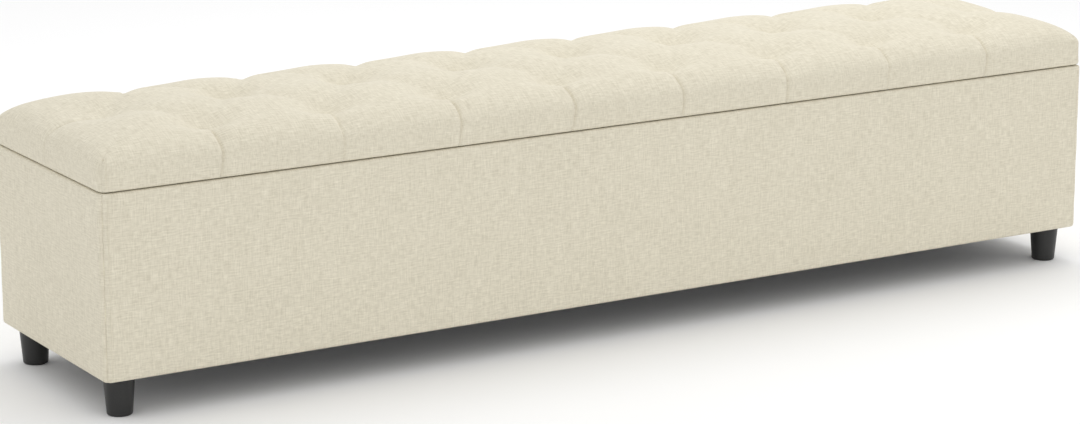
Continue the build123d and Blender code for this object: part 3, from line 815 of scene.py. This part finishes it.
def wall_cover(name, half_run, half_out, turn, seed):
    """One side's cloth, swept for a wall that faces -Y and turned about Z by turn degrees."""
    places = side_plan(half_run)
    seam_run = half_run - CORNER_RADIUS + CORNER_RADIUS * QUARTER
    points, uvs = [], []
    for (inset, z), v in zip(profile, down):
        for run, angle in places:
            radius = CORNER_RADIUS - inset
            if radius >= 0:
                x = run + radius * math.sin(angle)
                y = -(half_out - CORNER_RADIUS) - radius * math.cos(angle)
            else:  # inside the corner's centre the plan is a plain mitre, and the columns close up
                x = run + math.copysign(CORNER_RADIUS * abs(angle), angle)
                free = half_run - CLOSING_RUN
                if abs(x) > free:
                    squeeze = (CLOSING_RUN - inset) / (seam_run - free)
                    x = math.copysign(free + (abs(x) - free) * squeeze, x)
                y = -(half_out - inset)
            points.append((x, y, z))
            uvs.append((run + math.copysign(CORNER_RADIUS * abs(angle), angle), -v))
    points, uvs = np.array(points), np.array(uvs)
    across = np.array([run + math.copysign(CORNER_RADIUS * abs(a), a) for run, a in places] * len(profile))
    from_seam = seam_run - np.abs(across)
    outside = np.repeat((profile[:, 0] < 4 * MM) & (profile[:, 1] < RIM - 2 * MM), len(places))
    z = points[:, 2]
    middle = np.clip((RIM - z) * (z - BOX_BOTTOM) / ((RIM - BOX_BOTTOM) ** 2 / 4), 0, 1)
    crown = 0.9 * MM * np.sqrt(middle) * np.clip(from_seam / (60 * MM), 0, 1)
    wave = 0.35 * MM * soft_waves(across, z, seed) * np.clip(from_seam / (30 * MM), 0, 1) * np.sqrt(middle)
    groove = 1.5 * MM * np.exp(-((from_seam / (2.2 * MM)) ** 2))
    beside_seam = np.exp(-((from_seam - 4 * MM) / (4 * MM)) ** 2)
    pucker = 0.28 * MM * beside_seam * np.sin(z * 2 * math.pi / (9 * MM))
    lift = np.where(outside, crown + wave - groove + pucker * middle, 0)
    angles = np.array([a for _, a in places] * len(profile))
    points[:, 0] += np.sin(angles) * lift
    points[:, 1] -= np.cos(angles) * lift
    c, s = math.cos(math.radians(turn)), math.sin(math.radians(turn))
    x, y = points[:, 0].copy(), points[:, 1].copy()
    points[:, 0], points[:, 1] = c * x - s * y, s * x + c * y
    faces = [tuple(reversed(face)) for face in grid_faces(len(profile), len(places))]
    piece = new_object(name, points, faces, uvs)
    solid = piece.modifiers.new("thickness", "SOLIDIFY")
    solid.thickness, solid.offset = 1.2 * MM, -1
    return bake_modifiers(piece)


# %% Make the four covers
box_covers = {
    "front": wall_cover("cover_front", HALF_LENGTH, HALF_DEPTH, 0, 1),
    "right": wall_cover("cover_right", HALF_DEPTH, HALF_LENGTH, 90, 2),
    "back": wall_cover("cover_back", HALF_LENGTH, HALF_DEPTH, 180, 3),
    "left": wall_cover("cover_left", HALF_DEPTH, HALF_LENGTH, -90, 4),
}
for side, piece in box_covers.items():
    give(piece, linen, "box")
    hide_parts("box_cover_" + side)
print("cover faces:", [len(piece.data.polygons) for piece in box_covers.values()])

# %% [markdown]
# ## Linings
# The storage room is lined with a thin grey cloth, glued to the floor and walls and caught under the
# turned-in cover. The lid's underside has a sheet of the same cloth, and a black dust cloth closes the
# box from below. All three are flat cloth with a slight ripple, so a grid with a small wave is enough.

# %% Lining sheets
lining_low, lining_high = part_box("storage_lining")
dust_low, dust_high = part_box("dust_cover")
lid_lining_low, lid_lining_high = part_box("lid_lining")


def flat_sheet(name, low, high, z, ripple, seed, spacing=12 * MM, facing=1):
    """A rippled sheet in plan between two corners, facing up or down."""
    nx, ny = int((high.x - low.x) / spacing), int((high.y - low.y) / spacing)
    xs, ys = np.linspace(low.x, high.x, nx), np.linspace(low.y, high.y, ny)
    gx, gy = np.meshgrid(xs, ys)
    edge = np.minimum.reduce([gx - low.x, high.x - gx, gy - low.y, high.y - gy])
    gz = z + ripple * (soft_waves(gx * 2, gy * 2, seed) + 1) / 2 * facing * np.clip(edge / (40 * MM), 0, 1)
    points = np.column_stack([gx.ravel(), gy.ravel(), gz.ravel()])
    faces = grid_faces(ny, nx)
    if facing < 0:
        faces = [tuple(reversed(face)) for face in faces]
    piece = new_object(name, points, faces, points[:, :2])
    solid = piece.modifiers.new("thickness", "SOLIDIFY")
    solid.thickness, solid.offset = 0.6 * MM, -1
    return bake_modifiers(piece)


dust_sheet = flat_sheet(
    "dust_cloth_sheet", dust_low, dust_high, dust_low.z + 0.5 * MM, 0.4 * MM, 7, facing=-1
)
give(dust_sheet, dust_cloth, "box")
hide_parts("dust_cover")

underside = flat_sheet(
    "lid_underside_lining", lid_lining_low, lid_lining_high, LID_BOTTOM + 0.5 * MM, 0.3 * MM, 8, facing=-1
)
give(underside, lining_cloth, "lid")
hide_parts("lid_lining")


def folded_up(half, count, steps):
    """Places along a sheet folded up at both ends: where each lies in plan, and how far it has risen."""
    ends = np.full(len(steps), half)
    plan = np.concatenate([-ends, np.linspace(-half, half, count)[1:-1], ends])
    rise = np.concatenate([steps[::-1], np.zeros(count - 2), steps])
    return plan, rise


def tray_points(low, high, steps, seed):
    """Points and UVs of a tray's floor and four walls, and the index of each by column and row."""
    plan_x, rise_x = folded_up(high.x - TRAY_GAP, 140, steps)
    plan_y, rise_y = folded_up(high.y - TRAY_GAP, 28, steps)
    points, uvs, index = [], [], {}
    for j in range(len(plan_y)):
        for i in range(len(plan_x)):
            if rise_x[i] > 0 and rise_y[j] > 0:
                continue
            rise = max(rise_x[i], rise_y[j])
            x, y, z = plan_x[i], plan_y[j], low.z + 1.2 * MM + rise
            if rise == 0:
                z += TRAY_RIPPLE * (soft_waves(x * 2, y * 2, seed) + 1) / 2
            else:
                bow = TRAY_RIPPLE * (soft_waves((x + y) * 2, z * 2, seed + 1) + 1) / 2
                bow *= min(1, rise / (30 * MM))
                x -= math.copysign(bow, x) if rise_x[i] > 0 else 0
                y -= math.copysign(bow, y) if rise_y[j] > 0 else 0
            index[i, j] = len(points)
            points.append((x, y, z))
            u = plan_x[i] + math.copysign(rise_x[i], plan_x[i])
            v = plan_y[j] + math.copysign(rise_y[j], plan_y[j])
            uvs.append((u, v))
    return points, uvs, index, len(plan_x), len(plan_y)


def tray_faces(index, nx, ny, lift):
    """Squares of the floor and walls, and the quads that close the four upright corners."""
    faces = []
    for j in range(ny - 1):
        for i in range(nx - 1):
            square = [(i, j), (i + 1, j), (i + 1, j + 1), (i, j + 1)]
            if all(corner in index for corner in square):
                faces.append([index[corner] for corner in square])
    for i0, di in ((lift - 1, -1), (nx - lift, 1)):
        for j0, dj in ((lift - 1, -1), (ny - lift, 1)):
            for k in range(lift - 1):
                quad = [index[i0 + di * k, j0], index[i0 + di * (k + 1), j0]]
                quad += [index[i0, j0 + dj * (k + 1)], index[i0, j0 + dj * k]]
                quad = list(dict.fromkeys(quad))
                faces.append(quad if di * dj > 0 else quad[::-1])
    return faces


TRAY_FOLD = 6 * MM  # radius where the floor turns up into a wall
TRAY_GAP, TRAY_RIPPLE = 1.1 * MM, 0.5 * MM


def tray_lining(name, low, high, seed):
    """Floor and walls of the storage room as one sheet folded up at its edges."""
    height = high.z - low.z
    steps = [TRAY_FOLD * k / 3 for k in range(4)]
    steps += [TRAY_FOLD + (height - TRAY_FOLD) * k / 14 for k in range(1, 15)]
    points, uvs, index, nx, ny = tray_points(low, high, steps, seed)
    piece = new_object(name, points, tray_faces(index, nx, ny, len(steps)), uvs)
    merge = bmesh.new()
    merge.from_mesh(piece.data)
    bmesh.ops.remove_doubles(merge, verts=merge.verts, dist=0.05 * MM)
    bmesh.ops.recalc_face_normals(merge, faces=merge.faces)
    if sum(f.normal.z * f.calc_area() for f in merge.faces) < 0:
        bmesh.ops.reverse_faces(merge, faces=merge.faces)
    merge.to_mesh(piece.data)
    merge.free()
    solid = piece.modifiers.new("thickness", "SOLIDIFY")
    solid.thickness, solid.offset = 0.6 * MM, -1
    return bake_modifiers(piece)


room_lining = tray_lining("storage_room_lining", lining_low, lining_high, 11)
give(room_lining, lining_cloth, "box")
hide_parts("storage_lining")

# %% [markdown]
# ## Things that repeat: stitches and staples
# A row of stitches is one stitch copied along a line, and so is a row of staples. Geometry Nodes do
# that: the line is resampled to points at the right pitch, the stitch is put on each point, turned
# along the line and made real. The same tree serves every row, with the pitch and the stitch as inputs.


# %% Tree that copies a piece along a line
def repeat_tree(name, material):
    """Geometry Nodes: copies of an object along edges, Pitch apart, each turned a little by Wobble."""
    tree = bpy.data.node_groups.new(name, "GeometryNodeTree")
    face = tree.interface
    face.new_socket("Line", in_out="INPUT", socket_type="NodeSocketGeometry")
    pitch = face.new_socket("Pitch", in_out="INPUT", socket_type="NodeSocketFloat")
    copied = face.new_socket("Copied piece", in_out="INPUT", socket_type="NodeSocketObject")
    wobble = face.new_socket("Wobble", in_out="INPUT", socket_type="NodeSocketFloat")
    face.new_socket("Result", in_out="OUTPUT", socket_type="NodeSocketGeometry")
    add, link = tree.nodes.new, tree.links.new
    entry, leave = add("NodeGroupInput"), add("NodeGroupOutput")
    curve, points = add("GeometryNodeMeshToCurve"), add("GeometryNodeCurveToPoints")
    points.mode = "LENGTH"
    info, place = add("GeometryNodeObjectInfo"), add("GeometryNodeInstanceOnPoints")
    real, paint = add("GeometryNodeRealizeInstances"), add("GeometryNodeSetMaterial")
    random, spin = add("FunctionNodeRandomValue"), add("FunctionNodeRotateRotation")
    axis = add("FunctionNodeAxisAngleToRotation")
    minus = add("ShaderNodeMath")
    minus.operation = "MULTIPLY"
    minus.inputs[1].default_value = -1.0
    spin.rotation_space = "LOCAL"
    axis.inputs["Axis"].default_value = (1, 0, 0)
    random.data_type = "FLOAT"
    random.inputs["Seed"].default_value = 5
    paint.inputs["Material"].default_value = material
    link(entry.outputs["Line"], curve.inputs["Mesh"])
    link(curve.outputs["Curve"], points.inputs["Curve"])
    link(entry.outputs["Pitch"], points.inputs["Length"])
    link(entry.outputs["Copied piece"], info.inputs["Object"])
    link(points.outputs["Points"], place.inputs["Points"])
    link(info.outputs["Geometry"], place.inputs["Instance"])
    link(entry.outputs["Wobble"], random.inputs["Max"])
    link(entry.outputs["Wobble"], minus.inputs[0])
    link(minus.outputs[0], random.inputs["Min"])
    link(random.outputs["Value"], axis.inputs["Angle"])
    link(points.outputs["Rotation"], spin.inputs["Rotation"])
    link(axis.outputs["Rotation"], spin.inputs["Rotate By"])
    link(spin.outputs["Rotation"], place.inputs["Rotation"])
    link(place.outputs["Instances"], real.inputs["Geometry"])
    link(real.outputs["Geometry"], paint.inputs["Geometry"])
    link(paint.outputs["Geometry"], leave.inputs["Result"])
    return tree, {"pitch": pitch.identifier, "copied": copied.identifier, "wobble": wobble.identifier}


def repeated(name, lines, copied, pitch, material, wobble=0.0):
    """Copies the piece along each line (a list of points) and returns one plain mesh object."""
    tree, sockets = repeat_tree(name + "_tree", material)
    verts, edges = [], []
    for line in lines:
        edges += [(len(verts) + k, len(verts) + k + 1) for k in range(len(line) - 1)]
        verts += [tuple(point) for point in line]
    mesh = bpy.data.meshes.new(name)
    mesh.from_pydata(verts, edges, [])
    obj = bpy.data.objects.new(name, mesh)
    bpy.context.scene.collection.objects.link(obj)
    modifier = obj.modifiers.new("repeat", "NODES")
    modifier.node_group = tree
    modifier[sockets["pitch"]] = pitch
    modifier[sockets["copied"]] = copied
    modifier[sockets["wobble"]] = wobble
    bake_modifiers(obj)
    obj.data.polygons.foreach_set("use_smooth", [True] * len(obj.data.polygons))
    print(name, len(obj.data.polygons), "faces")
    return obj


def master(name, build):
    """A small mesh to be copied. It is removed once the copies are plain."""
    mesh = bpy.data.meshes.new(name)
    made = bmesh.new()
    build(made)
    bmesh.ops.recalc_face_normals(made, faces=made.faces)
    made.to_mesh(mesh)
    made.free()
    obj = bpy.data.objects.new(name, mesh)
    bpy.context.scene.collection.objects.link(obj)
    return obj


# %% [markdown]
# ## The stitch and the staple
# The pieces to be copied are small closed meshes with a few dozen faces, because there are hundreds of
# copies.

# %% The stitch and the staple
# Curve to Points turns a copy so that its Z axis runs along the line.
def build_stitch(made):
    """A short sunken loop of thread, 3.4 mm long: rings of six points along Z."""
    length, radius = 3.4 * MM, 0.45 * MM
    rings = []
    for share, width in ((-0.5, 0.35), (-0.3, 0.95), (0.0, 1.1), (0.3, 0.95), (0.5, 0.35)):
        turns = [a * math.pi / 3 for a in range(6)]
        circle = [(radius * width * math.cos(turn), radius * width * math.sin(turn)) for turn in turns]
        rings.append([made.verts.new((x, y, share * length)) for x, y in circle])
    for one, two in zip(rings, rings[1:]):
        for a in range(6):
            made.faces.new((one[a], one[(a + 1) % 6], two[(a + 1) % 6], two[a]))
    made.faces.new(rings[0])
    made.faces.new(rings[-1])


def build_staple(made):
    """The crown of a staple, 10 mm along Z, with bevelled edges."""
    bmesh.ops.create_cube(made, size=1)
    for vert in made.verts:
        vert.co = (vert.co.x * 0.7 * MM, vert.co.y * 0.7 * MM, vert.co.z * 10 * MM)
    bmesh.ops.bevel(made, geom=list(made.edges), offset=0.15 * MM, segments=1, affect="EDGES")


stitch_master = master("stitch_master", build_stitch)
staple_master = master("staple_master", build_staple)

# %% [markdown]
# ## Rows beside the corner seams
# Each upright seam is sewn, and the thread shows as small sunken loops beside it. A ray from outside
# finds the cloth at each height, so that the stitches lie on it wherever it swells or puckers.

# %% Rows of stitches beside the corner seams
STITCH_PITCH = 5 * MM
STITCH_FROM_SEAM = 6.5 * MM
RAY_START = 50 * MM  # how far outside the cloth a ray starts


def nearest_surface(obj, point, direction):
    """Where a ray towards the cloth meets it."""
    hit, place, _, _ = obj.ray_cast(Vector(point), Vector(direction))
    return place if hit else None


box_rows = []
for side, sign in (("front", -1), ("back", 1)):
    for end in (-1, 1):
        x = end * (HALF_LENGTH - CORNER_RADIUS * 0.35 - STITCH_FROM_SEAM)
        row = []
        for z in np.arange(BOX_BOTTOM + 6 * MM, RIM - 8 * MM, 8 * MM):
            place = nearest_surface(box_covers[side], (x, sign * (HALF_DEPTH + RAY_START), z), (0, -sign, 0))
            if place:
                row.append((place.x, place.y + sign * 0.1 * MM, place.z))
        box_rows.append(row)
box_stitches = repeated("box_seam_stitches", box_rows, stitch_master, STITCH_PITCH, linen, 0.12)
give(box_stitches, linen, "box")

lid_rows = []
for sign in (-1, 1):
    for end in (-1, 1):
        x = end * (LID_X - 4 * MM - STITCH_FROM_SEAM)
        row = []
        for z in np.arange(LID_BOTTOM + 8 * MM, LID_TOP - 36 * MM, 5 * MM):
            place = nearest_surface(cushion, (x, sign * (LID_Y + RAY_START), z), (0, -sign, 0))
            if place:
                row.append((place.x, place.y + sign * 0.1 * MM, place.z))
        lid_rows.append(row)
lid_stitches = repeated("lid_seam_stitches", lid_rows, stitch_master, STITCH_PITCH, linen, 0.12)
give(lid_stitches, linen, "lid")

# %% [markdown]
# ## Staples
# The cloths under the lid and under the box are stapled to the wood along their edges. The rows leave
# out the hinges.

# %% Staples under the lid and under the box
STAPLE_PITCH = 45 * MM


def staple_loop(half_x, half_y, z, skip=()):
    """Straight runs round a rectangle, broken at the hinges where skip names (centre, half width)."""
    runs = []
    for sy in (-1, 1):
        edges = [-half_x + 0.03, half_x - 0.03]
        if sy > 0:
            for centre, half in sorted(skip):
                edges += [centre - half, centre + half]
            edges.sort()
        runs += [[(a, sy * half_y, z), (b, sy * half_y, z)] for a, b in zip(edges[::2], edges[1::2])]
    for sx in (-1, 1):
        runs.append([(sx * half_x, -half_y + 0.03, z), (sx * half_x, half_y - 0.03, z)])
    return runs


hinge_names = [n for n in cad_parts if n.endswith("lid_leaf")]
hinge_spans = [((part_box(n)[0].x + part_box(n)[1].x) / 2, 0.075) for n in hinge_names]
LID_STAPLE_INSET, BOX_STAPLE_INSET = 5 * MM, 8 * MM  # from the edge of the cloth they hold
lid_staple_lines = staple_loop(
    lid_lining_high.x - LID_STAPLE_INSET,
    lid_lining_high.y - LID_STAPLE_INSET,
    LID_BOTTOM - 0.15 * MM,
    hinge_spans,
)
lid_staples = repeated("lid_staples", lid_staple_lines, staple_master, STAPLE_PITCH, zinc)
give(lid_staples, zinc, "lid")
box_staple_lines = staple_loop(
    dust_high.x - BOX_STAPLE_INSET, dust_high.y - BOX_STAPLE_INSET, BOX_BOTTOM - 0.05 * MM
)
box_staples = repeated("box_staples", box_staple_lines, staple_master, STAPLE_PITCH, zinc)
give(box_staples, zinc, "box")
for leftover in (stitch_master, staple_master):
    bpy.data.objects.remove(leftover)

# %% [markdown]
# ## Studio and camera
# A white world lights a pale floor and the cream cloth from all round. One large soft light above and
# behind the right half makes the top the brightest side and shades the dimples, and a weak fill in
# front lifts the long side.

# %% Camera
camera_data = bpy.data.cameras.new("camera")
camera_data.sensor_width = 36
camera_data.lens = 112.84
camera_data.clip_end = 50
camera = bpy.data.objects.new("camera", camera_data)
camera.location = (-2.7865, -4.5072, 1.4693)
camera.rotation_euler = (math.radians(76.115), 0, math.radians(-31.247))
bpy.context.scene.collection.objects.link(camera)
bpy.context.scene.camera = camera

# %% Floor and light
floor_material, floor_tree, floor_shader = new_material("pale_floor")
floor_shader.inputs["Base Color"].default_value = (0.93, 0.93, 0.93, 1)
floor_shader.inputs["Roughness"].default_value = 0.9
floor = new_object("floor", [(-30, -30, 0), (30, -30, 0), (30, 30, 0), (-30, 30, 0)], [(0, 1, 2, 3)])
floor.data.materials.append(floor_material)

world = bpy.data.worlds.new("studio")
bpy.context.scene.world = world
world.use_nodes = True
world.node_tree.nodes["Background"].inputs["Color"].default_value = (1, 1, 1, 1)
world.node_tree.nodes["Background"].inputs["Strength"].default_value = 0.96
bpy.context.scene.view_settings.view_transform = "Standard"


def soft_light(name, place, target, size, watts):
    data = bpy.data.lights.new(name, "AREA")
    data.shape, data.size, data.size_y = "RECTANGLE", size[0], size[1]
    data.energy = watts
    lamp = bpy.data.objects.new(name, data)
    lamp.location = place
    lamp.rotation_euler = (Vector(target) - Vector(place)).to_track_quat("-Z", "Y").to_euler()
    bpy.context.scene.collection.objects.link(lamp)
    return lamp


soft_light("key", (1.1, 0.8, 2.8), (0, 0, 0.4), (2.2, 1.0), 23)
soft_light("fill", (0.4, -3.6, 1.7), (0, 0, 0.3), (2.4, 1.6), 5)

# %% Hand over
give(cushion, linen, "lid")
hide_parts("lid_cover", "lid_edge_wadding")
give(foam_core, foam, "lid")
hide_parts("lid_foam")
